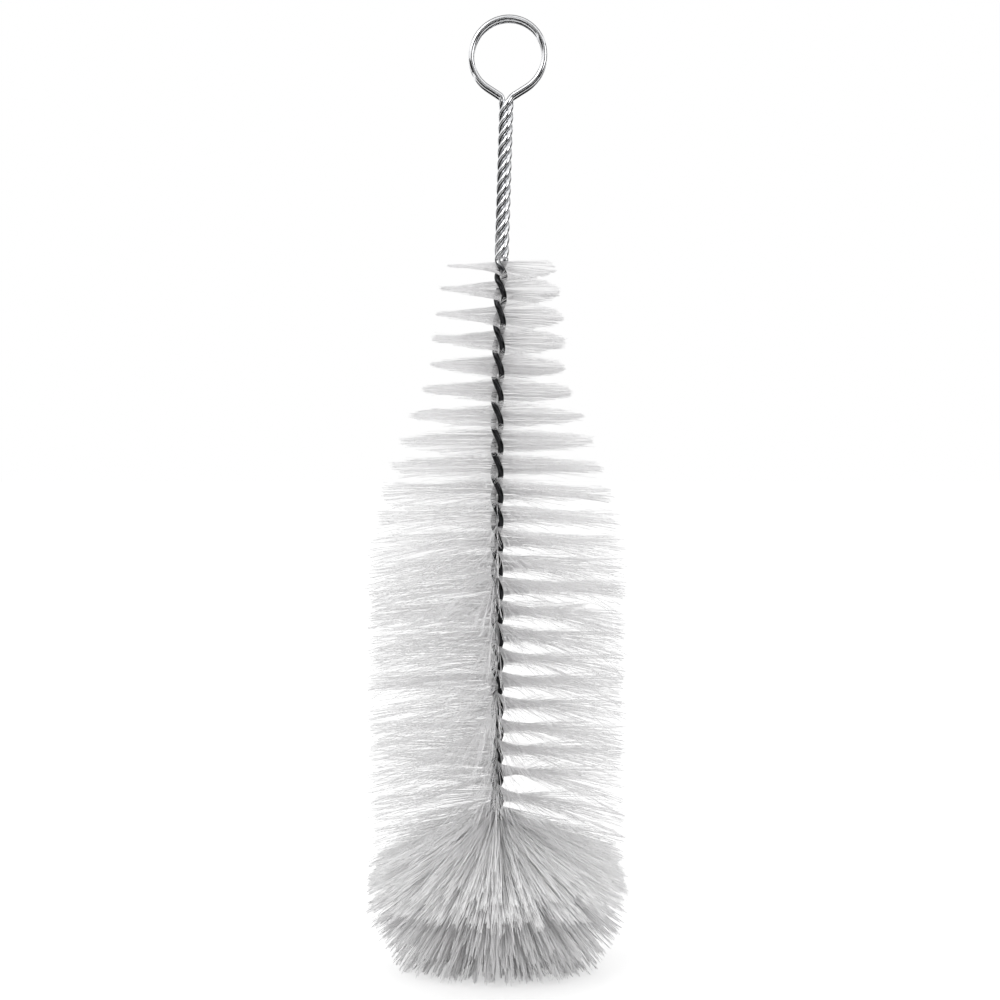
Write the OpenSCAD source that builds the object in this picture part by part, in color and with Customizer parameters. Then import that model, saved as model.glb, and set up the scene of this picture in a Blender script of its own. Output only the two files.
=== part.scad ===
// Bottle brush with a twisted wire stem.
// One galvanised wire is folded in half. Its two legs are twisted together over the
// bristles, twisted four-fold into a handle and wound into a double hanging ring.
// The brush stands upright on its end tuft: +Z up, ring at the top, origin under the stem.

/* [Wire] */
// Diameter of the wire
wire_d = 2; // [1.8:0.1:2]
// Thickness of the layer of bristles nipped between the two legs
nip_t = 0.45; // [0.3:0.05:0.5]
// Free gap between neighbouring strands
strand_gap = 0.09; // [0.06:0.01:0.12]
// Height of the tip, where the wire is folded
tip_z = 47; // [46:0.5:48]

/* [Stem twist] */
// Height of the first crossing under the handle
twist_top_z = 243.9; // [243:0.1:245]
// Height of the first half turn, which is tighter than the rest
first_half_turn = 6.1; // [6:0.1:7]
// Height of the second half turn
half_turn_top = 8.9; // [8.8:0.05:9]
// How much less each half turn is than the one above it
half_turn_step = 0.053; // [0.04:0.001:0.06]
// Height above which the stem is bent a little to one side
bend_z = 186; // [150:1:220]
// Height over which that bend is spread
bend_run = 25; // [10:1:40]
// Angle of the stem above the bend
bend_angle = 1.8; // [0:0.1:3]

/* [Handle] */
// Height at which the four strands leave the handle for the ring
handle_top_z = 301.4; // [301:0.1:301.8]
// Turns in the handle
handle_turns = 3.2; // [3.18:0.01:3.22]
// Height of one full turn of the handle
handle_pitch = 16.85; // [16.8:0.05:16.9]
// How far the two cut ends run on below the handle
cut_end = 0.4; // [0:0.1:0.5]

/* [Hanging ring] */
// Diameter of the ring at the middle of its wire
ring_d = 25.4; // [24:0.1:27]
// How much taller the ring is than wide
ring_long = 0.7; // [0:0.1:1]
// Height of the front ring's centre
ring_z = 317.75; // [317.5:0.05:318.2]
// How much lower the back ring hangs than the front one
ring_drop = 0.5; // [0:0.1:0.6]
// Angle below the ring's middle at which its wire runs straight to the handle
ring_leave = 58; // [56:1:60]

/* [Bristle spiral] */
// Diameter of the bristles over the body of the brush
body_d = 88.4; // [80:0.2:90]
// Diameter of the bristles at the handle end
neck_d = 37.5; // [30:0.5:42]
// Diameter where the slim neck opens into the shoulder
collar_d = 46; // [40:0.5:50]
// Height of the foot of the slim neck
collar_z = 208; // [200:1:215]
// Height at which the shoulder reaches the full diameter
shoulder_z = 158; // [150:1:165]
// Thickness of a flight at the tips of its bristles
flight_t = 4.6; // [3:0.1:5]

/* [Head] */
// Diameter of the skirt of bristles above the end tuft
skirt_d = 90; // [80:0.5:92]
// Height of the skirt's lower edge
skirt_z = 25; // [24:0.5:26]
// Width of the flat under the end tuft
foot_d = 60; // [50:1:62]
// How deep the end tuft is, front to back, for its width
end_depth = 0.7; // [0.6:0.05:1]
// Number of locks round the head
locks = 24; // [16:1:30]
// Depth of the grooves between the locks
lock_depth = 1.6; // [0:0.1:2]

/* [Hidden] */
wire_r = wire_d / 2;
wire_sides = 8;
stem_steps = 6; // rings of the wire's mesh in a half turn
stem_r = wire_r + nip_t / 2 + strand_gap; // middle of a leg from the stem's axis
strand_slant = 1.14; // four slanted strands need this much more room than straight ones
handle_r = wire_r * sqrt(2) * strand_slant + strand_gap / 3;
ring_y = wire_r + strand_gap / 2; // each ring lies to one side of the stem's axis

function rot2(p, a) = [p.x * cos(a) - p.y * sin(a), p.x * sin(a) + p.y * cos(a), p.z];
function polar(r, a, z) = [r * cos(a), r * sin(a), z];
function bezier(p, t) =
    pow(1 - t, 3) * p[0] + 3 * t * pow(1 - t, 2) * p[1] + 3 * t * t * (1 - t) * p[2] + pow(t, 3) * p[3];
function hermite(a, da, b, db, t) =
    (a * (1 + 2 * t) + da * t) * pow(1 - t, 2) + b * ease(t) + db * t * t * (t - 1);
function ease(t) = t * t * (3 - 2 * t);
function clamp01(t) = min(1, max(0, t));
function unit(v) = v / norm(v);
function reversed(list) = [for (i = [len(list) - 1:-1:0]) list[i]];

// Sideways place of the stem's axis: straight, then an arc, then a straight lean
function bent_x(z) =
    let(u = z - bend_z)
    u <= 0 ? 0 : tan(bend_angle) * (u < bend_run ? u * u / (2 * bend_run) : u - bend_run / 2);
function bent(p) = [p.x + bent_x(p.z), p.y, p.z];

// Height after t half turns of the stem, and the azimuth of the bristles there
function twist_z(t) =
    t < 1
        ? twist_top_z - first_half_turn * t
        : twist_top_z - first_half_turn - half_turn_top * (t - 1) + half_turn_step / 2 * pow(t - 1, 2);
function twist_a(t) = 180 * t;

// The count of half turns from the first crossing down to a height
function twist_t(z) =
    let(h = half_turn_step / 2, d = twist_top_z - first_half_turn - z)
    1 + (half_turn_top - sqrt(half_turn_top * half_turn_top - 4 * h * d)) / (2 * h);

// A closed skin over rings of points, each joined to the next. An open row of rings gets a
// strip over each end; a closed one comes round to its first ring again.
module skin(rings, closed = false) {
    n = len(rings[0]);
    count = len(rings);
    wall = [
        for (i = [0:closed ? count - 1 : count - 2], j = [0:n - 1])
            let(a = i * n, b = (i + 1) % count * n, k = (j + 1) % n)
            each [[a + j, a + k, b + k], [a + j, b + k, b + j]]
    ];
    last = (count - 1) * n;
    ends = [
        for (j = [0:n / 2 - 2])
            each [
                [j, n - 1 - j, n - 2 - j],
                [j, n - 2 - j, j + 1],
                [last + j, last + n - 2 - j, last + n - 1 - j],
                [last + j, last + j + 1, last + n - 2 - j]
            ]
    ];
    polyhedron([for (r = rings) each r], closed ? wall : concat(wall, ends), convexity = 12);
}

// Rings of a round tube along a path, turned as little as possible from one to the next
function tube_rings(path, r, sides) =
    let(
        n = len(path),
        along = [for (i = [0:n - 1]) unit(path[min(i + 1, n - 1)] - path[max(i - 1, 0)])],
        side = [
            for (i = 0, s = unit(cross(along[0], [0, 1, 0.3]));
                i < n;
                i = i + 1, s = i < n ? unit(s - (s * along[i]) * along[i]) : s) s
        ]
    )
    [
        for (i = [0:n - 1])
            let(other = cross(side[i], along[i]))
            [
                for (k = [0:sides - 1])
                    let(a = 360 * k / sides)
                    path[i] + r * (side[i] * cos(a) + other * sin(a))
            ]
    ];

// The wire's middle line, from a cut end up the handle, over the front ring, down the handle
// and down one leg to the fold. The other half is the same turned half round the axis.
strand_step = 30; // degrees between the rings of a strand's mesh
left_a = 199; // azimuths of the front ring's two strands at the top of the handle
right_a = left_a + 90;
function handle_strand(azimuth, turns) =
    let(count = floor(360 * turns / strand_step))
    [
        for (i = [0:count])
            let(t = turns * i / count)
            polar(handle_r, azimuth - 360 * t, handle_top_z - handle_pitch * t)
    ];

// One point of the ring at an angle, and the place where its straight foot begins
ring_r = ring_d / 2;
ring_tall = (ring_d + ring_long) / 2;
function ring_point(a) = [ring_r * cos(a), -ring_y, ring_z + ring_tall * sin(a)];
ring_foot = ring_point(-ring_leave);
foot_slope = unit([-ring_r * sin(ring_leave), 0, -ring_tall * cos(ring_leave)]);
elbow_x = 2.6; // the feet are straight down to here
elbow = ring_foot + foot_slope * (elbow_x - ring_foot.x) / foot_slope.x;
elbow_reach = 1.4; // how far the straight foot pulls on its bend
strand_reach = 1; // how far the strand pulls on the same bend
hook_steps = 7;

// The bend from the top of a strand to a foot of the ring, on the right or the left
function hook(azimuth, side) =
    let(
        base = polar(handle_r, azimuth, handle_top_z),
        climb = unit(polar(handle_r * 2 * PI / handle_pitch, azimuth + 90, 1)),
        end = [side * elbow.x, elbow.y, elbow.z],
        slope = [side * foot_slope.x, 0, foot_slope.z],
        pulls = [base, base + climb * strand_reach, end + slope * elbow_reach, end]
    )
    [for (i = [1:hook_steps]) bezier(pulls, i / hook_steps)];

ring_steps = 22;
ring_arc = [for (i = [0:ring_steps]) ring_point(180 + ring_leave - (180 + 2 * ring_leave) * i / ring_steps)];

// Both hooks with the ring between them, from left to right
ring_loop = concat(hook(left_a, -1), ring_arc, reversed(hook(right_a, 1)));

// Below the handle two strands turn back and become the legs of the stem
change_steps = 8;
change_top_z = handle_top_z - handle_turns * handle_pitch;
change_drop = change_top_z - twist_top_z;
change_from_a = right_a - 360 * (handle_turns - 3); // less the three full turns
change = [
    for (i = [1:change_steps - 1])
        let(
            t = i / change_steps,
            turning = -360 * change_drop / handle_pitch,
            returning = 180 * change_drop / first_half_turn,
            a = hermite(change_from_a, turning, 270, returning, t)
        )
        polar(handle_r + (stem_r - handle_r) * ease(t), a, change_top_z - change_drop * t)
];

fold_z = tip_z + wire_r + stem_r; // the legs end here and the fold begins
half_turns = twist_t(fold_z);
leg_count = ceil(half_turns * stem_steps);
leg = [
    for (i = [0:leg_count])
        let(t = half_turns * i / leg_count)
        polar(stem_r, 270 + twist_a(t), twist_z(t))
];

// Half of the fold, a half circle in the plane of the legs
fold_steps = 4;
fold_a = 270 + twist_a(half_turns);
fold = [
    for (i = [1:fold_steps])
        let(a = 90 * i / (fold_steps + 0.5))
        polar(stem_r * cos(a), fold_a, fold_z - stem_r * sin(a))
];

// The ring with its hooks lowered, all of it above the elbows and none of it at the strands
function lowered(path, drop) =
    [for (p = path) p - [0, 0, drop * ease(clamp01((p.z - handle_top_z) / (elbow.z - handle_top_z)))]];

function half_wire(drop) =
    concat(
        reversed(handle_strand(left_a, handle_turns + cut_end / handle_pitch)),
        lowered(ring_loop, drop),
        handle_strand(right_a, handle_turns),
        change,
        leg,
        fold
    );
wire_path = concat(half_wire(0), reversed([for (p = half_wire(ring_drop)) rot2(p, 180)]));

module stem_wire() {
    color([0.66, 0.67, 0.68])
        skin(tube_rings([for (p = wire_path) bent(p)], wire_r, wire_sides));
}

// Radius of the brush at a height
function body_r(z) =
    z > collar_z
        ? (collar_d + (neck_d - collar_d) * ease(clamp01((z - collar_z) / (twist_top_z - collar_z)))) / 2
        : (body_d + (collar_d - body_d) * pow(clamp01((z - shoulder_z) / (collar_z - shoulder_z)), 1.5)) / 2;

// The double flight of bristles: it passes between the legs and widens out to its tips
fill_steps = 10; // sections in a half turn
fill_from = -0.2; // half turns, from the first crossing
fill_to = half_turns - 0.5;
root_r = 1.5; // the bristles spread from here outwards
function flight_section(t) =
    let(
        z = twist_z(t),
        r = body_r(z),
        a = twist_a(t),
        v = nip_t / 2,
        up = flight_t / 2
    )
    [
        for (p = [
            [r, v, up],
            [root_r, v, 0],
            [-root_r, v, 0],
            [-r, v, -up],
            [-r, -v, up],
            [-root_r, -v, 0],
            [root_r, -v, 0],
            [r, -v, -up]
        ])
            bent(rot2([p.x, p.y, z + p.z], a))
    ];

module spiral_fill() {
    count = ceil((fill_to - fill_from) * fill_steps);
    color([0.93, 0.93, 0.95])
        skin([for (i = [0:count]) flight_section(fill_from + (fill_to - fill_from) * i / count)]);
}

// A ring of points round the stem's axis, grooved between the locks
lock_steps = 3 * locks;
function lock_ring(r, z, depth) =
    [
        for (k = [0:lock_steps - 1])
            let(a = 360 * k / lock_steps)
            polar(r - depth * (1 - cos(locks * a)) / 2, a, z)
    ];

socket_r = stem_r + wire_r + strand_gap; // clear of the twisted legs
skirt_r = skirt_d / 2;
foot_r = foot_d / 2;
skirt_root_z = tip_z + 2.4; // underside of the skirt where it leaves the stem
end_root_z = tip_z + 1.6; // top of the end tuft where it grips the tip
head_gap = 2.2; // how far the end tuft's edge stands in from the skirt's

// Upper bristles of the skirt arch out and down from the stem, lower ones run straight
skirt_profile = [
    [socket_r, skirt_root_z + 1.8, 0],
    [skirt_r * 0.27, skirt_root_z + 1, 0.3],
    [skirt_r * 0.5, skirt_root_z - 1.6, 0.6],
    [skirt_r * 0.72, skirt_root_z - 6, 0.8],
    [skirt_r * 0.875, skirt_z + 9.5, 1],
    [skirt_r * 0.975, skirt_z + 3, 1],
    [skirt_r, skirt_z, 1],
    [skirt_r * 0.96, skirt_z - 0.4, 1],
    [socket_r, skirt_root_z, 0]
];

module skirt_tuft() {
    rings = [for (p = skirt_profile) lock_ring(p[0], p[1], p[2] * lock_depth)];
    color([0.85, 0.85, 0.87])
        skin(rings, closed = true);
}

// The end tuft grips the fold of the wire and opens into a bell that is trimmed flat below
end_profile = [
    [socket_r, tip_z - strand_gap * 2, 0],
    [socket_r, end_root_z, 0],
    [skirt_r - head_gap - 1.6, skirt_z - 1.4, 1],
    [skirt_r - head_gap, skirt_z - 5, 1],
    [skirt_r * 0.94, skirt_z - 11, 1],
    [skirt_r * 0.87, skirt_z - 16, 1],
    [skirt_r * 0.79, skirt_z - 20, 0.9],
    [(skirt_r * 0.7 + foot_r) / 2, 1, 0.6],
    [foot_r, 0, 0]
];

// Round where it grips the wire, and flattened front to back everywhere else
function flattened(ring, depth) = [for (p = ring) [p.x, p.y * depth, p.z]];

module end_tuft() {
    rings = [
        for (p = end_profile)
            flattened(lock_ring(p[0], p[1], p[2] * lock_depth), p[0] > socket_r ? end_depth : 1)
    ];
    color([0.74, 0.74, 0.77])
        skin(rings);
}

stem_wire();
spiral_fill();
skirt_tuft();
end_tuft();
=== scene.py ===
# Bottle brush: one twisted wire, a spiral of nylon bristles and a flared head.
# Lengths are in millimetres, apart from those noted as metres; meshes are built in metres.
import math

import bmesh
import bpy
import numpy as np
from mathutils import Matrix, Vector


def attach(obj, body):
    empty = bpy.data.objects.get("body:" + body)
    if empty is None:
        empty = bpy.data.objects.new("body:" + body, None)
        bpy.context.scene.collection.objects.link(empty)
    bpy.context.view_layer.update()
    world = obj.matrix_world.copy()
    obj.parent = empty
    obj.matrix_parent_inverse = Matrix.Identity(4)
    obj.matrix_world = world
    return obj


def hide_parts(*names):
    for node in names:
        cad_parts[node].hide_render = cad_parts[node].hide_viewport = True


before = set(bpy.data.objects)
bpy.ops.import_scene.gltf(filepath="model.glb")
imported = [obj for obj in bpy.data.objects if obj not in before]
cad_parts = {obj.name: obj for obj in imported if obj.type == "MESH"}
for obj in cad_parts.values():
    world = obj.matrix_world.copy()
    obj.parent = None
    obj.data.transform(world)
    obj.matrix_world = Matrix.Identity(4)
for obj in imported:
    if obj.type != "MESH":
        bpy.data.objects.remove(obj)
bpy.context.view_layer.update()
mm = 0.001
weldDistance = 1e-6
chance = np.random.default_rng(7)
scene = bpy.context.scene


# where the wire and the bristles sit
stem = {
    "wireRadius": 1.0,
    "nip": 0.45,  # layer of bristles between the two legs
    "gap": 0.09,  # free space between neighbouring strands
    "tip": 47.0,  # height of the fold
    "twistTop": 243.9,  # height of the first crossing under the handle
    "firstHalfTurn": 6.1,
    "halfTurnTop": 8.9,
    "halfTurnStep": 0.053,  # how much less each half turn is than the one above it
    "bendFrom": 186.0,
    "bendRun": 25.0,
    "bendAngle": math.radians(1.8),
    "legAngle": 270,  # azimuth of a leg at the first crossing
    "legSteps": 14,  # points in a half turn
    "foldSteps": 7,
}
legRadius = stem["wireRadius"] + stem["nip"] / 2 + stem["gap"]
foldHeight = stem["tip"] + stem["wireRadius"] + legRadius


def twistHeight(turn):
    # height after so many half turns, counted down from the first crossing
    turn = np.asarray(turn, float)
    lower = (
        stem["twistTop"]
        - stem["firstHalfTurn"]
        - stem["halfTurnTop"] * (turn - 1)
        + stem["halfTurnStep"] / 2 * (turn - 1) ** 2
    )
    return np.where(turn < 1, stem["twistTop"] - stem["firstHalfTurn"] * turn, lower)


def twistTurn(height):
    # the half turns at a height: the inverse of twistHeight
    height = np.asarray(height, float)
    drop = stem["twistTop"] - stem["firstHalfTurn"] - height
    top = stem["halfTurnTop"]
    step = stem["halfTurnStep"] / 2
    lower = 1 + (top - np.sqrt(np.maximum(top * top - 4 * step * drop, 0))) / (2 * step)
    return np.where(drop < 0, 1 + drop / stem["firstHalfTurn"], lower)


def bendX(height):
    # the stem is straight below the bend and leans a little above it
    up = np.maximum(np.asarray(height, float) - stem["bendFrom"], 0)
    run = stem["bendRun"]
    return math.tan(stem["bendAngle"]) * np.where(up < run, up * up / (2 * run), up - run / 2)


def stemLean(height):
    # how far the stem is tipped sideways at a height
    up = np.asarray(height, float) - stem["bendFrom"]
    return stem["bendAngle"] * np.clip(up / stem["bendRun"], 0, 1)


halfTurns = float(twistTurn(foldHeight))


def addNode(tree, kind, place, **values):
    node = tree.nodes.new(kind)
    node.location = place
    for name, value in values.items():
        setattr(node, name, value)
    return node


def newMaterial(name):
    material = bpy.data.materials.new(name)
    material.use_nodes = True
    tree = material.node_tree
    return material, tree, tree.nodes["Principled BSDF"]


def setRamp(ramp, stops):
    elements = ramp.color_ramp.elements
    while len(elements) < len(stops):
        elements.new(0.5)
    for element, (place, colour) in zip(elements, stops):
        element.position = place
        element.color = (*colour, 1)


nylon = {
    "sides": 4,
    "pale": (0.985, 0.98, 0.985),
    "middle": (0.945, 0.94, 0.945),
    "middlePlace": 0.3,  # its place on the way from deep to pale
    "deep": (0.66, 0.655, 0.66),
    "rootPaintedShade": 0.96,  # painted shade: tone at the root, as a share of the full tone
    "paintedShadeTo": 0.35,  # share of its length at which a bristle has its full tone, where the painted shade ends
    "lockTone": 0.5,  # how far the bristles of a lock share one tone
    "clear": 0.1,
    "bending": 1.53,  # index of refraction
    "roughness": 0.4,
}


def nylonMaterial(name, look):
    # UV x holds each bristle's own tone and UV y runs from its root to its tip
    material, tree, shader = newMaterial(name)
    uv = addNode(tree, "ShaderNodeUVMap", (-900, 0), uv_map="OFBake")
    split = addNode(tree, "ShaderNodeSeparateXYZ", (-720, 0))
    tree.links.new(uv.outputs["UV"], split.inputs["Vector"])
    tone = addNode(tree, "ShaderNodeValToRGB", (-520, 160))
    setRamp(tone, [(0.0, look["deep"]), (look["middlePlace"], look["middle"]), (1.0, look["pale"])])
    tree.links.new(split.outputs["X"], tone.inputs["Fac"])
    # painted shade: each bristle is darkened towards its root, where the bristles shade each other
    root = addNode(tree, "ShaderNodeMapRange", (-520, -120))
    root.inputs["From Min"].default_value = 0.0
    root.inputs["From Max"].default_value = look["paintedShadeTo"]
    root.inputs["To Min"].default_value = look["rootPaintedShade"]
    root.inputs["To Max"].default_value = 1.0
    tree.links.new(split.outputs["Y"], root.inputs["Value"])
    shade = addNode(tree, "ShaderNodeMix", (-220, 80), data_type="RGBA", blend_type="MULTIPLY")
    shade.inputs["Factor"].default_value = 1.0
    tree.links.new(tone.outputs["Color"], shade.inputs[6])
    tree.links.new(root.outputs["Result"], shade.inputs[7])
    tree.links.new(shade.outputs[2], shader.inputs["Base Color"])
    shader.inputs["Roughness"].default_value = look["roughness"]
    shader.inputs["IOR"].default_value = look["bending"]
    shader.inputs["Transmission Weight"].default_value = look["clear"]
    return material


galvanised = {
    "bright": (0.88, 0.885, 0.9),
    "dull": (0.74, 0.745, 0.76),
    "stem": (0.05, 0.05, 0.053),  # painted shade and painted reflection: the wire between the bristles is painted dark
    "stemShadeTop": (0.2438, 0.2472),  # metres: the painted shade ends between these heights
    "spangle": 500.0,  # scale of the cloudy pattern in the zinc
    "spangleDetail": 4.0,
    "tintPlaces": (0.3, 0.62),  # where the pattern is dull and where it is bright
    "roughPlaces": (0.3, 0.7),
    "roughness": (0.1, 0.2),
}


def wireMaterial(name, look):
    material, tree, shader = newMaterial(name)
    place = addNode(tree, "ShaderNodeTexCoord", (-1000, 0))
    cloud = addNode(tree, "ShaderNodeTexNoise", (-780, 120))
    cloud.inputs["Scale"].default_value = look["spangle"]
    cloud.inputs["Detail"].default_value = look["spangleDetail"]
    tree.links.new(place.outputs["Object"], cloud.inputs["Vector"])
    tint = addNode(tree, "ShaderNodeValToRGB", (-520, 160))
    setRamp(tint, [(look["tintPlaces"][0], look["dull"]), (look["tintPlaces"][1], look["bright"])])
    tree.links.new(cloud.outputs["Fac"], tint.inputs["Fac"])
    split = addNode(tree, "ShaderNodeSeparateXYZ", (-780, -320))
    tree.links.new(place.outputs["Object"], split.inputs["Vector"])
    # painted shade: below these heights the wire takes the dark stem tone in place of its zinc tint
    above = addNode(tree, "ShaderNodeMapRange", (-520, -360))
    above.inputs["From Min"].default_value = look["stemShadeTop"][0]
    above.inputs["From Max"].default_value = look["stemShadeTop"][1]
    tree.links.new(split.outputs["Z"], above.inputs["Value"])
    both = addNode(tree, "ShaderNodeMix", (-220, 120), data_type="RGBA")
    both.inputs[6].default_value = (*look["stem"], 1)
    tree.links.new(above.outputs["Result"], both.inputs["Factor"])
    tree.links.new(tint.outputs["Color"], both.inputs[7])
    tree.links.new(both.outputs[2], shader.inputs["Base Color"])
    rough = addNode(tree, "ShaderNodeMapRange", (-520, -120))
    rough.inputs["From Min"].default_value = look["roughPlaces"][0]
    rough.inputs["From Max"].default_value = look["roughPlaces"][1]
    rough.inputs["To Min"].default_value = look["roughness"][1]
    rough.inputs["To Max"].default_value = look["roughness"][0]
    tree.links.new(cloud.outputs["Fac"], rough.inputs["Value"])
    tree.links.new(rough.outputs["Result"], shader.inputs["Roughness"])
    shader.inputs["Metallic"].default_value = 1.0
    return material


# the head's bristles stand closer, so they are opaque, and they are painted paler as painted light for
# what they lose in each other's shade; those of the end tuft are darker, with painted shade over most
# of their length for the skirt's shadow
endShadedLook = nylon | {"deep": (0.74, 0.74, 0.74), "rootPaintedShade": 0.88, "paintedShadeTo": 0.9, "clear": 0.0}
headLitLook = nylon | {"middle": (0.96, 0.96, 0.96), "deep": (0.78, 0.78, 0.78), "clear": 0.0}
bodyNylon = nylonMaterial("bodyNylon", nylon)
shadedEndNylon = nylonMaterial("shadedEndNylon", endShadedLook)
litHeadNylon = nylonMaterial("litHeadNylon", headLitLook)
wireMetal = wireMaterial("galvanisedWire", galvanised)
print("materials made")


def profileCurve(name, sides):
    # the cross-section that is swept along a curve
    curve = bpy.data.curves.new(name, "CURVE")
    curve.dimensions = "3D"
    outline = curve.splines.new("POLY")
    outline.points.add(sides - 1)
    outline.use_cyclic_u = True
    for corner, point in enumerate(outline.points):
        angle = math.tau * corner / sides
        point.co = (math.cos(angle), math.sin(angle), 0, 1)
    holder = bpy.data.objects.new(name, curve)
    scene.collection.objects.link(holder)
    return holder


def sweep(name, paths, radii, sides):
    # paths is an array (curves, points, 3) in millimetres, radii one radius for each point
    profile = profileCurve(name + "Profile", sides)
    curve = bpy.data.curves.new(name, "CURVE")
    curve.dimensions = "3D"
    curve.bevel_mode = "OBJECT"
    curve.bevel_object = profile
    curve.use_fill_caps = True
    points = np.ones((*paths.shape[:2], 4), np.float32)
    points[:, :, :3] = paths * mm
    widths = np.asarray(radii, np.float32) * mm
    for path in points:
        spline = curve.splines.new("POLY")
        spline.points.add(len(path) - 1)
        spline.points.foreach_set("co", path.ravel())
        spline.points.foreach_set("radius", widths)
    holder = bpy.data.objects.new(name, curve)
    scene.collection.objects.link(holder)
    depsgraph = bpy.context.evaluated_depsgraph_get()
    mesh = bpy.data.meshes.new_from_object(holder.evaluated_get(depsgraph))
    bpy.data.objects.remove(holder)
    bpy.data.objects.remove(profile)
    mesh.name = name
    return mesh


def closeEnds(mesh):
    # the caps come loose from the tube, so they are welded to it
    shape = bmesh.new()
    shape.from_mesh(mesh)
    bmesh.ops.remove_doubles(shape, verts=shape.verts, dist=weldDistance)
    bmesh.ops.recalc_face_normals(shape, faces=shape.faces)
    shape.to_mesh(mesh)
    shape.free()
    mesh.shade_smooth()


def bristleUv(mesh, count, points, sides, tones, along):
    # caps come first in the mesh, last bristle first; then the tubes, ring by ring
    margin = 0.02  # the values stay clear of the edges of the UV square
    span = 0.95
    apart = 0.002  # the corners of a face never fall on one point
    corners = np.empty(len(mesh.loops), np.int64)
    mesh.loops.foreach_get("vertex_index", corners)
    caps = 2 * sides * count
    isCap = corners < caps
    tube = corners - caps
    bristle = np.where(isCap, count - 1 - corners // (2 * sides), tube // (sides * points))
    capRing = np.where(corners % (2 * sides) < sides, points - 1, 0)
    tubeRing = np.where(isCap, capRing, tube % (sides * points) // sides)
    corner = corners % sides
    layer = mesh.uv_layers[0]
    layer.name = "OFBake"
    uv = np.empty((len(corners), 2), np.float32)
    uv[:, 0] = margin + span * tones[bristle] + apart * corner
    uv[:, 1] = margin + span * along[tubeRing] + np.where(isCap, apart * (corner % 2), 0)
    layer.uv.foreach_set("vector", uv.ravel())


def addPiece(name, mesh, material, node):
    piece = bpy.data.objects.new(name, mesh)
    scene.collection.objects.link(piece)
    mesh.materials.clear()
    mesh.materials.append(material)
    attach(piece, "root")
    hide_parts(node)


def bristlePiece(name, paths, widths, along, lockSize, material, node):
    # widths and along hold one value for each point of a bristle
    sides = nylon["sides"]
    mesh = sweep(name, paths, widths, sides)
    count = len(paths)
    lockTone = chance.uniform(0, 1, count // lockSize + 1)[np.arange(count) // lockSize]
    tones = nylon["lockTone"] * lockTone + (1 - nylon["lockTone"]) * chance.uniform(0, 1, count)
    bristleUv(mesh, count, paths.shape[1], sides, tones, np.asarray(along))
    closeEnds(mesh)
    addPiece(name, mesh, material, node)
    print(name, count, "bristles", len(mesh.polygons), "faces")


handle = {
    "top": 301.4,
    "turns": 3.2,
    "pitch": 16.85,
    "cutEnd": 0.4,  # how far the two cut strands run on below the handle
    "leftAngle": 199.0,  # azimuth of the front ring's left strand at the top
    "strandsApart": 90.0,  # degrees between neighbouring strands
    "slant": 1.14,  # extra room for strands that lie at a slant
    "strandStep": 10.0,  # degrees between two points of a strand
    "changeSteps": 15,  # steps in which a strand becomes a leg of the stem
    "sides": 16,
}
ring = {
    "radius": 12.7,
    "tall": 13.05,  # half its height
    "height": 317.75,
    "drop": 0.5,  # how much lower the back ring hangs
    "leave": math.radians(58),  # below the middle, where the wire runs straight to the handle
    "elbow": 2.6,  # the feet are straight until they are this close to the stem
    "elbowPull": 1.4,  # how far the foot and the strand pull on the bend between them
    "strandPull": 1.0,
    "hookSteps": 14,
    "steps": 72,
}
strandRadius = stem["wireRadius"] * math.sqrt(2) * handle["slant"] + stem["gap"] / 3
ringSide = stem["wireRadius"] + stem["gap"] / 2
changeTop = handle["top"] - handle["turns"] * handle["pitch"]


def around(radius, angle, height):
    radius, angle, height = np.broadcast_arrays(radius, np.radians(angle), height)
    return np.stack([radius * np.cos(angle), radius * np.sin(angle), height], -1)


def eased(share):
    share = np.clip(share, 0, 1)
    return share * share * (3 - 2 * share)


def handleStrand(azimuth, turns):
    turn = np.linspace(0, turns, int(360 * turns / handle["strandStep"]) + 1)
    return around(strandRadius, azimuth - 360 * turn, handle["top"] - handle["pitch"] * turn)


def ringPoint(angle):
    side = np.full(np.shape(angle), -ringSide)
    height = ring["height"] + ring["tall"] * np.sin(angle)
    return np.stack([ring["radius"] * np.cos(angle), side, height], -1)


def ringFoot():
    # the elbow of the right-hand foot and the direction in which it comes from the ring
    leave = ring["leave"]
    foot = ringPoint(-leave)
    slope = np.array([-ring["radius"] * math.sin(leave), 0, -ring["tall"] * math.cos(leave)])
    slope /= np.linalg.norm(slope)
    return foot + slope * (ring["elbow"] - foot[0]) / slope[0], slope


def hookBend(azimuth, side):
    # the bend between the top of a strand and a foot of the ring
    elbow, slope = ringFoot()
    mirror = np.array([side, 1, 1])
    base = around(strandRadius, azimuth, handle["top"])
    climb = around(strandRadius * math.tau / handle["pitch"], azimuth + 90, 1.0)
    climb /= np.linalg.norm(climb)
    end = elbow * mirror
    pulls = [base, base + climb * ring["strandPull"], end + slope * mirror * ring["elbowPull"], end]
    t = np.linspace(0, 1, ring["hookSteps"] + 1)[1:, None]
    return (
        (1 - t) ** 3 * pulls[0]
        + 3 * t * (1 - t) ** 2 * pulls[1]
        + 3 * t * t * (1 - t) * pulls[2]
        + t**3 * pulls[3]
    )


def ringLoop(drop):
    # from the top of the left strand over the ring to the top of the right one
    leave = ring["leave"]
    arc = ringPoint(np.linspace(math.pi + leave, -leave, ring["steps"] + 1))
    left = hookBend(handle["leftAngle"], -1)
    right = hookBend(handle["leftAngle"] + handle["strandsApart"], 1)
    loop = np.vstack([left, arc, right[::-1]])
    elbow = ringFoot()[0]
    loop[:, 2] -= drop * eased((loop[:, 2] - handle["top"]) / (elbow[2] - handle["top"]))
    return loop


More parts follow.
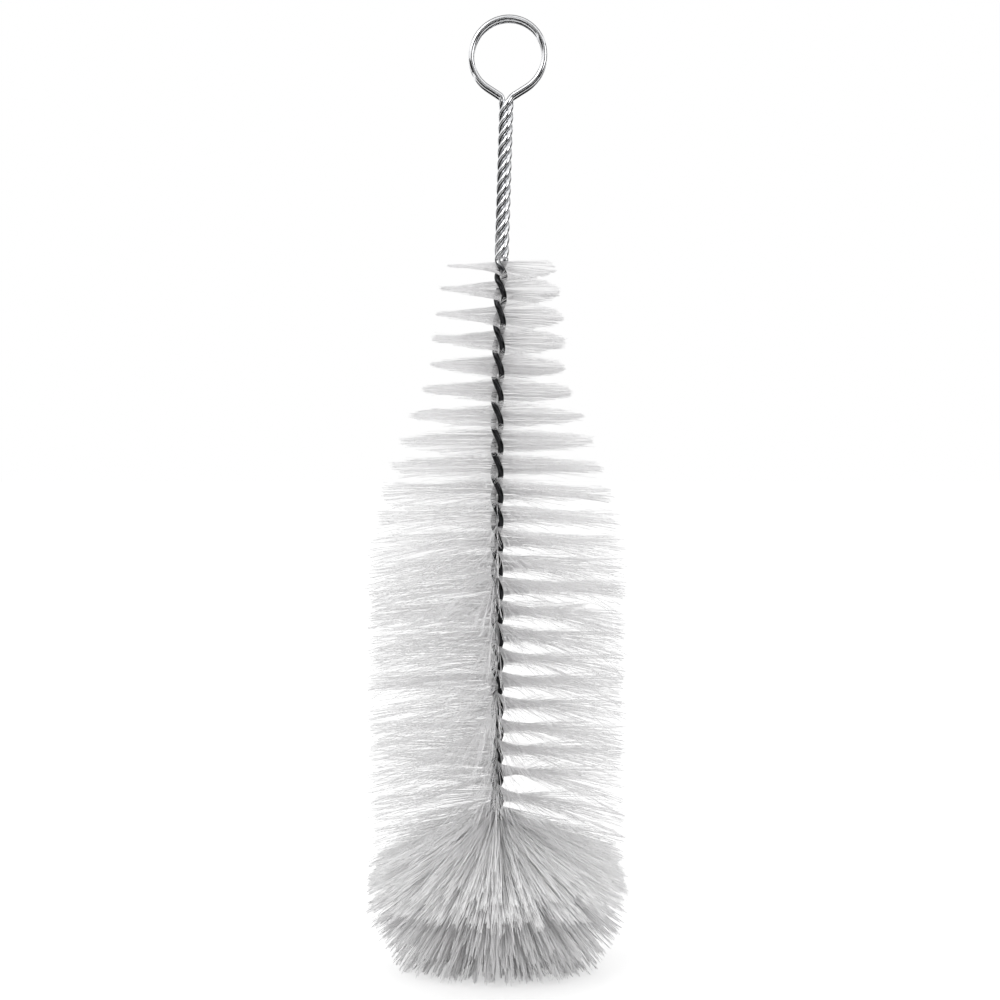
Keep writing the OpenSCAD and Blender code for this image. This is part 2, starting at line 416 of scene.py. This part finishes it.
def strandChange():
    # the strand turns back from the handle's twist to the stem's
    t = np.linspace(0, 1, handle["changeSteps"] + 1)[1:-1]
    drop = changeTop - stem["twistTop"]
    partTurn = handle["turns"] - math.floor(handle["turns"])
    start = handle["leftAngle"] + handle["strandsApart"] - 360 * partTurn
    before = -360 * drop / handle["pitch"]
    after = 180 * drop / stem["firstHalfTurn"]
    angle = (start * (1 + 2 * t) + before * t) * (1 - t) ** 2
    angle = angle + stem["legAngle"] * eased(t) + after * t * t * (t - 1)
    radius = strandRadius + (legRadius - strandRadius) * eased(t)
    return around(radius, angle, changeTop - drop * t)


def halfWire(drop):
    # from a cut end over one ring and down a leg to the middle of the fold
    turn = np.linspace(0, halfTurns, int(halfTurns * stem["legSteps"]))
    leg = around(legRadius, stem["legAngle"] + 180 * turn, twistHeight(turn))
    bow = np.linspace(0, math.pi / 2, stem["foldSteps"] + 1)[1:-1]
    foldAngle = stem["legAngle"] + 180 * halfTurns
    fold = around(legRadius * np.cos(bow), foldAngle, foldHeight - legRadius * np.sin(bow))
    left = handle["leftAngle"]
    cut = handleStrand(left, handle["turns"] + handle["cutEnd"] / handle["pitch"])
    whole = handleStrand(left + handle["strandsApart"], handle["turns"])
    return np.vstack([cut[::-1], ringLoop(drop), whole, strandChange(), leg, fold])


def wirePath():
    # the other half is the same wire turned half round the stem, with its ring lower
    back = halfWire(ring["drop"]) * [-1, -1, 1]
    path = np.vstack([halfWire(0), back[::-1]])
    path[:, 0] += bendX(path[:, 2])
    return path


def makeWire():
    path = wirePath()
    mesh = sweep("twistedWire", path[None], np.full(len(path), stem["wireRadius"]), handle["sides"])
    closeEnds(mesh)
    addPiece("twistedWire", mesh, wireMetal, "stem_wire")
    print("wire", len(path), "rings", len(mesh.polygons), "faces")


makeWire()


fill = {
    # the radius of the brush at each height
    "heights": (150, 169, 184, 192, 201, 208, 220, 228, 237, 244),
    "radii": (44.2, 39.3, 33.2, 30.0, 25.8, 23.4, 23.0, 21.9, 20.6, 18.8),
    "looseBelow": 190.0,  # the bristles stand in tidy fans above this height
    "looseRun": 50.0,
    "from": -0.4,  # in half turns of the stem
    "to": halfTurns - 0.3,
    "perMillimetre": 26,  # bristles in a millimetre of stem
    "pieces": 2,
    "bristleRadius": (0.051, 0.038),  # in the lower and in the upper piece
    "widen": (0.82, 0.32),  # thickness at the stem, and how much more at the tips, of the radius above
    "lockSize": 12,  # bristles that lean together
    "lockLean": (0.7, 1.3),  # degrees, on the neck and on the full body
    "lean": (0.8, 1.0),  # the same for each bristle on its own
    "rise": (0.0, 1.5),
    "sag": (0.0, 7.0),  # mean of the fall at the tips
    "sagPower": 1.7,  # over 1 most of the fall is near the tips
    "lockSag": 0.5,  # how far the bristles of a lock share one sag
    "mostSag": 34.0,
    "lowest": (68.0, 14.0, 9.0),  # from this height, over this run, so many degrees lower
    "topDroop": 3.0,  # the first bristles hang by so many degrees
    "topTurns": 0.4,  # and it fades out over so many half turns
    # the flights sit lower than the wire's crossings, less so from this height, over this run
    "lag": (1.5, 2.7, 236.0, 9.0),
    "sway": 1.6,  # degrees to either side
    "bow": 0.5,  # millimetres out of straight
    "ragged": 0.018,
    # the points of a bristle, from tip to tip, as shares of its length
    "reach": (1.0, 0.72, 0.4, 0.06, 0.0, 0.06, 0.4, 0.72, 1.0),
}


def brushRadius(height):
    return np.interp(height, fill["heights"], fill["radii"])


def lockShare(count, size):
    # the number of the lock in which each bristle stands; neighbouring locks run into each other
    return (np.arange(count) + chance.integers(0, size)) // size


def neckToBody(key, loose):
    # a setting that changes from its value on the neck to its value on the full body
    neck, body = fill[key]
    return neck + (body - neck) * loose


def spiralBristles(low, high):
    # bristles laid across the stem between two heights, each nipped between the legs of the wire
    count = int((high - low) * fill["perMillimetre"])
    height = np.sort(chance.uniform(low, high, count))
    cross = math.pi * twistTurn(height)
    across = np.stack([-np.sin(cross), np.cos(cross)], -1)
    nipped = chance.uniform(-0.5, 0.5, count) * stem["nip"]
    core = np.stack([bendX(height) + across[:, 0] * nipped, across[:, 1] * nipped, height], -1)
    lag, lagLoss, lagTop, lagRun = fill["lag"]
    angle = math.pi * twistTurn(height + lag - lagLoss * eased((height - lagTop) / lagRun))
    loose = eased((fill["looseBelow"] - height) / fill["looseRun"])
    lockLean = neckToBody("lockLean", loose)
    lean = neckToBody("lean", loose)
    sag = neckToBody("sag", loose)
    lowFrom, lowRun, lowSag = fill["lowest"]
    rise = neckToBody("rise", loose) - lowSag * eased((lowFrom - height) / lowRun)
    topTurns = fill["topTurns"]
    rise = rise - fill["topDroop"] * np.clip(topTurns - twistTurn(height), 0, topTurns) / topTurns
    reach = fill["reach"]
    middle = len(reach) // 2
    path = np.repeat(core[:, None], len(reach), 1)
    for side in (-1, 1):
        lock = lockShare(count, fill["lockSize"])
        tilt = chance.normal(0, 1, count)[lock] * lockLean + chance.normal(0, 1, count) * lean
        tilt = np.radians(tilt + rise)
        fall = fill["lockSag"] * chance.exponential(1, count)[lock]
        fall += (1 - fill["lockSag"]) * chance.exponential(1, count)
        fall = np.tan(np.radians(np.minimum(fall * sag, fill["mostSag"])))
        facing = 0 if side > 0 else math.pi
        turned = angle + np.radians(chance.normal(0, fill["sway"], count)) + facing
        out = np.stack([np.cos(turned) * np.cos(tilt), np.sin(turned) * np.cos(tilt), np.sin(tilt)], -1)
        out[:, 2] -= out[:, 0] * np.tan(stemLean(height))
        length = brushRadius(height) * (1 + chance.normal(0, fill["ragged"], count))
        bow = chance.normal(0, fill["bow"], (count, 3)) * (length / fill["radii"][0])[:, None]
        for step in range(1, middle + 1):
            place = middle + side * step
            share = reach[place]
            path[:, place] += out * (length * share)[:, None] + bow * 4 * share * (1 - share)
            path[:, place, 2] -= length * fall * share ** fill["sagPower"]
    return path


def makeFill():
    top = float(twistHeight(fill["from"]))
    bottom = float(twistHeight(fill["to"]))
    edges = np.linspace(bottom, top, fill["pieces"] + 1)
    reach = np.asarray(fill["reach"])
    for index in range(fill["pieces"]):
        widths = fill["bristleRadius"][index] * (fill["widen"][0] + fill["widen"][1] * reach)
        paths = spiralBristles(edges[index], edges[index + 1])
        name = f"spiralBristles{index + 1}"
        bristlePiece(name, paths, widths, reach, fill["lockSize"], bodyNylon, "spiral_fill")


makeFill()


head = {
    "root": 46.6,
    "rootRun": 5.4,  # the flattest bristles leave the wire so much higher
    "lockSize": 5,  # bristles that stand together
    "lockSpread": 2.2,  # degrees
    "bristleRadius": 0.078,
    "droops": (0, 11, 18, 22, 26, 30, 39, 48, 54, 62, 90),  # degrees below level
    "lengths": (36, 38, 41.7, 46.5, 49.2, 51, 53, 54.5, 57, 54, 46.8),  # of bristles at these droops
    "bow": 0.5,  # millimetres out of straight
    "floor": 0.13,  # no bristle's middle line comes lower
    "reach": (0.0, 0.2, 0.45, 0.7, 0.88, 1.0),
}


def headBristles(level, azimuth, heart, root, gathered, trim, ragged):
    # level and azimuth give each bristle's own direction, heart the direction of its lock
    out = around(np.cos(level), np.degrees(azimuth), -np.sin(level))
    droop = np.degrees(np.arcsin(-heart[:, 2]))
    length = np.interp(droop, head["droops"], head["lengths"])
    length *= (1 - trim * np.abs(heart[:, 1])) * (1 - np.abs(chance.normal(0, ragged, len(length))))
    bow = chance.normal(0, head["bow"], (len(length), 3))
    steps = []
    for share in head["reach"]:
        pull = gathered * share
        toward = out * (1 - pull) + heart * pull
        toward /= np.linalg.norm(toward, axis=1)[:, None]
        steps.append(root + toward * (length * share)[:, None] + bow * 4 * share * (1 - share))
    path = np.stack(steps, 1)
    path[:, :, 2] = np.maximum(path[:, :, 2], head["floor"])
    return path


skirt = {
    "count": 3500,
    "droop": (15.0, 25.0),  # degrees below level
    "crowd": 0.5,  # under 1 the bristles crowd towards the lower side, over 1 towards the upper
    "lastCount": 420,  # the dense last flight above the cone
    "lastToward": 0.0,  # its middle and half its width, in degrees
    "lastSpread": 38.0,
    "lastDroop": (-2.0, 13.0),
    "lastCrowd": 1.2,
    "lastRoot": 57.0,
    "levelSpread": 0.6,  # spread of a lock up and down, as a share of its spread to the sides
    "rootBand": 1.4,
    "rootRadius": (1.2, 2.4),
    "gathered": 0.7,  # how far the bristles of a lock come together at their tips
    "trim": 0.0,
    "ragged": 0.022,
}


def makeSkirt():
    # a cone of bristles, and the dense last flight above it on one side
    count = skirt["count"]
    lockSize = head["lockSize"]
    total = count + skirt["lastCount"]
    lock = np.arange(total) // lockSize
    inLast = lock * lockSize >= count
    share = chance.uniform(0, 1, total) ** np.where(inLast, skirt["lastCrowd"], skirt["crowd"])
    low = np.where(inLast, skirt["lastDroop"][0], skirt["droop"][0])
    high = np.where(inLast, skirt["lastDroop"][1], skirt["droop"][1])
    level = np.radians(low + (high - low) * share)[lock]
    anyAzimuth = chance.uniform(0, math.tau, total)
    toward = np.radians(skirt["lastToward"] + skirt["lastSpread"] * chance.uniform(-1, 1, total))
    azimuth = np.where(inLast, toward, anyAzimuth)[lock]
    heart = around(np.cos(level), np.degrees(azimuth), -np.sin(level))
    spread = math.radians(head["lockSpread"])
    level = level + chance.normal(0, skirt["levelSpread"] * spread, total)
    azimuth = azimuth + chance.normal(0, spread, total)
    coneTop = head["root"] + head["rootRun"]
    highRoot = np.where(inLast, skirt["lastRoot"], coneTop)
    lowRoot = np.where(inLast, coneTop, head["root"])
    height = highRoot + (lowRoot - highRoot) * share[lock] + chance.uniform(0, skirt["rootBand"], total)
    root = around(chance.uniform(*skirt["rootRadius"], total), np.degrees(azimuth), height)
    paths = headBristles(level, azimuth, heart, root, skirt["gathered"], skirt["trim"], skirt["ragged"])
    widths = np.full(len(head["reach"]), head["bristleRadius"])
    bristlePiece("skirtBristles", paths, widths, head["reach"], lockSize, litHeadNylon, "skirt_tuft")


endTuft = {
    "count": 4000,
    "fan": (63.0, 54.0),  # half its opening in degrees, to the sides and to the front
    "fanMost": 66.0,
    "rootReach": (0.5, 2.4),
    "gathered": 0.9,
    "trim": 0.13,  # how much shorter the bristles are to the front and to the back
    "ragged": 0.05,
    "depth": 0.7,  # how deep it is for its width
    "thicker": 1.15,  # than the skirt's bristles
}


def downward(sideways, forward):
    # directions tipped out from straight down by two angles
    ray = np.stack([np.tan(sideways), np.tan(forward), -np.ones(len(sideways))], -1)
    return ray / np.linalg.norm(ray, axis=1)[:, None]


def makeEndTuft():
    count = endTuft["count"]
    lockSize = head["lockSize"]
    lock = np.arange(count) // lockSize
    turn = chance.uniform(0, math.tau, count)[lock]
    share = np.sqrt(chance.uniform(0, 1, count))[lock]
    wide, deep = np.radians(endTuft["fan"])
    sideways = wide * share * np.cos(turn)
    forward = deep * share * np.sin(turn)
    heart = downward(sideways, forward)
    spread = math.radians(head["lockSpread"])
    limit = math.radians(endTuft["fanMost"])
    ownSideways = np.clip(sideways + chance.normal(0, spread, count), -limit, limit)
    ownForward = forward + chance.normal(0, spread, count)
    own = downward(ownSideways, ownForward)
    level = np.arcsin(-own[:, 2])
    azimuth = np.arctan2(own[:, 1], own[:, 0])
    root = own * chance.uniform(*endTuft["rootReach"], count)[:, None] + np.array([0, 0, head["root"]])
    gathered = endTuft["gathered"]
    paths = headBristles(level, azimuth, heart, root, gathered, endTuft["trim"], endTuft["ragged"])
    paths[:, :, 1] *= endTuft["depth"]
    widths = np.full(len(head["reach"]), head["bristleRadius"] * endTuft["thicker"])
    bristlePiece("endBristles", paths, widths, head["reach"], lockSize, shadedEndNylon, "end_tuft")


makeSkirt()
makeEndTuft()


studio = {
    "ambient": 1.0,
    "floorSize": 6.0,  # metres from the middle to a side
    "floorTone": 0.6,
    "floorGlow": 0.5,
    "floorRoughness": 0.9,
    "eye": Vector((1.0, -546.0, 184.8)) * mm,
    "shift": -0.062,
    "lens": 56.5,
    "sensor": 36.0,
    "aim": Vector((0, 0, 0.15)),  # the lamps point here; metres
}
# metres: place, width, then power in watts
lamps = {
    "keyLamp": ((-0.7, -0.9, 1.1), 0.7, 6.0),
    "fillLamp": ((0.9, -0.6, 0.5), 0.6, 2.0),
}


def seenDirectly(tree, place):
    # 1 for camera, glossy and transmission rays
    path = addNode(tree, "ShaderNodeLightPath", place)
    either = addNode(tree, "ShaderNodeMath", (place[0] + 180, place[1]), operation="MAXIMUM")
    tree.links.new(path.outputs["Is Camera Ray"], either.inputs[0])
    tree.links.new(path.outputs["Is Glossy Ray"], either.inputs[1])
    each = addNode(tree, "ShaderNodeMath", (place[0] + 360, place[1]), operation="MAXIMUM")
    tree.links.new(either.outputs[0], each.inputs[0])
    tree.links.new(path.outputs["Is Transmission Ray"], each.inputs[1])
    return each.outputs[0]


def makeWorld():
    world = bpy.data.worlds.new("studioWorld")
    world.use_nodes = True
    scene.world = world
    tree = world.node_tree
    tree.nodes.clear()
    soft = addNode(tree, "ShaderNodeBackground", (0, 120))
    soft.inputs["Color"].default_value = (1, 1, 1, 1)
    soft.inputs["Strength"].default_value = studio["ambient"]
    white = addNode(tree, "ShaderNodeBackground", (0, -60))
    white.inputs["Color"].default_value = (1, 1, 1, 1)
    white.inputs["Strength"].default_value = 1.0
    blend = addNode(tree, "ShaderNodeMixShader", (240, 0))
    out = addNode(tree, "ShaderNodeOutputWorld", (440, 0))
    tree.links.new(seenDirectly(tree, (-600, 200)), blend.inputs[0])
    tree.links.new(soft.outputs[0], blend.inputs[1])
    tree.links.new(white.outputs[0], blend.inputs[2])
    tree.links.new(blend.outputs[0], out.inputs["Surface"])


def makeFloor():
    shape = bmesh.new()
    bmesh.ops.create_grid(shape, x_segments=1, y_segments=1, size=studio["floorSize"])
    mesh = bpy.data.meshes.new("floor")
    shape.to_mesh(mesh)
    shape.free()
    floor = bpy.data.objects.new("floor", mesh)
    scene.collection.objects.link(floor)
    material, tree, shader = newMaterial("paleFloor")
    tone = studio["floorTone"]
    shader.inputs["Base Color"].default_value = (tone, tone, tone, 1)
    shader.inputs["Roughness"].default_value = studio["floorRoughness"]
    shader.inputs["Specular IOR Level"].default_value = 0.0
    shader.inputs["Emission Color"].default_value = (1, 1, 1, 1)
    glow = addNode(tree, "ShaderNodeMath", (-200, -200), operation="MULTIPLY")
    tree.links.new(seenDirectly(tree, (-800, -200)), glow.inputs[0])
    glow.inputs[1].default_value = studio["floorGlow"]
    tree.links.new(glow.outputs[0], shader.inputs["Emission Strength"])
    mesh.materials.append(material)


# metres: place and size, then the turn in degrees and the tone
darkCards = {
    "ground": ((0, -0.2, 0.0005), (1.6, 1.0), (0, 0, 0), 0.03),
    "groundRight": ((1.4, -0.2, 0.0005), (1.2, 2.0), (0, 0, 0), 0.03),
    "frontLeft": ((-0.7, -1.0, 0.27), (1.1, 0.54), (90, 0, 0), 0.03),
    "frontRight": ((0.6, -1.0, 0.4), (1.2, 0.8), (90, 0, 0), 0.06),
    "left": ((-1.25, -0.25, 0.27), (1.6, 0.54), (90, 0, 90), 0.03),
    "right": ((1.25, 0.1, 0.5), (1.6, 1.0), (90, 0, 90), 0.06),
    "ceiling": ((0, 1.0, 1.5), (3.0, 2.4), (0, 0, 0), 0.3),
}


def makeDarkCard(name, place, size, turn, tone):
    # a dark board that only reflections see
    shape = bmesh.new()
    bmesh.ops.create_grid(shape, x_segments=1, y_segments=1, size=0.5)
    mesh = bpy.data.meshes.new(name)
    shape.to_mesh(mesh)
    shape.free()
    card = bpy.data.objects.new(name, mesh)
    card.location = place
    card.scale = (*size, 1)
    card.rotation_euler = [math.radians(angle) for angle in turn]
    scene.collection.objects.link(card)
    board, _, shader = newMaterial(name)
    shader.inputs["Base Color"].default_value = (0, 0, 0, 1)
    shader.inputs["Specular IOR Level"].default_value = 0.0
    shader.inputs["Emission Color"].default_value = (1, 1, 1, 1)
    shader.inputs["Emission Strength"].default_value = tone
    mesh.materials.append(board)
    for kind in ("camera", "diffuse", "transmission", "shadow", "volume_scatter"):
        setattr(card, f"visible_{kind}", False)


def makeLamp(name, place, size, power):
    lamp = bpy.data.lights.new(name, "AREA")
    lamp.shape = "DISK"
    lamp.size = size
    lamp.energy = power
    holder = bpy.data.objects.new(name, lamp)
    holder.location = place
    holder.rotation_euler = (studio["aim"] - Vector(place)).to_track_quat("-Z", "Y").to_euler()
    scene.collection.objects.link(holder)


def makeCamera():
    lens = bpy.data.cameras.new("camera")
    lens.lens = studio["lens"]
    lens.sensor_width = studio["sensor"]
    holder = bpy.data.objects.new("camera", lens)
    holder.location = studio["eye"]
    holder.rotation_euler = (math.pi / 2, 0, 0)
    lens.shift_y = studio["shift"]
    scene.collection.objects.link(holder)
    scene.camera = holder


makeWorld()
makeFloor()
for name, (place, size, turn, tone) in darkCards.items():
    makeDarkCard(name, place, size, turn, tone)
for name, (place, size, power) in lamps.items():
    makeLamp(name, place, size, power)
makeCamera()
scene.view_settings.view_transform = "Standard"
print("studio ready")
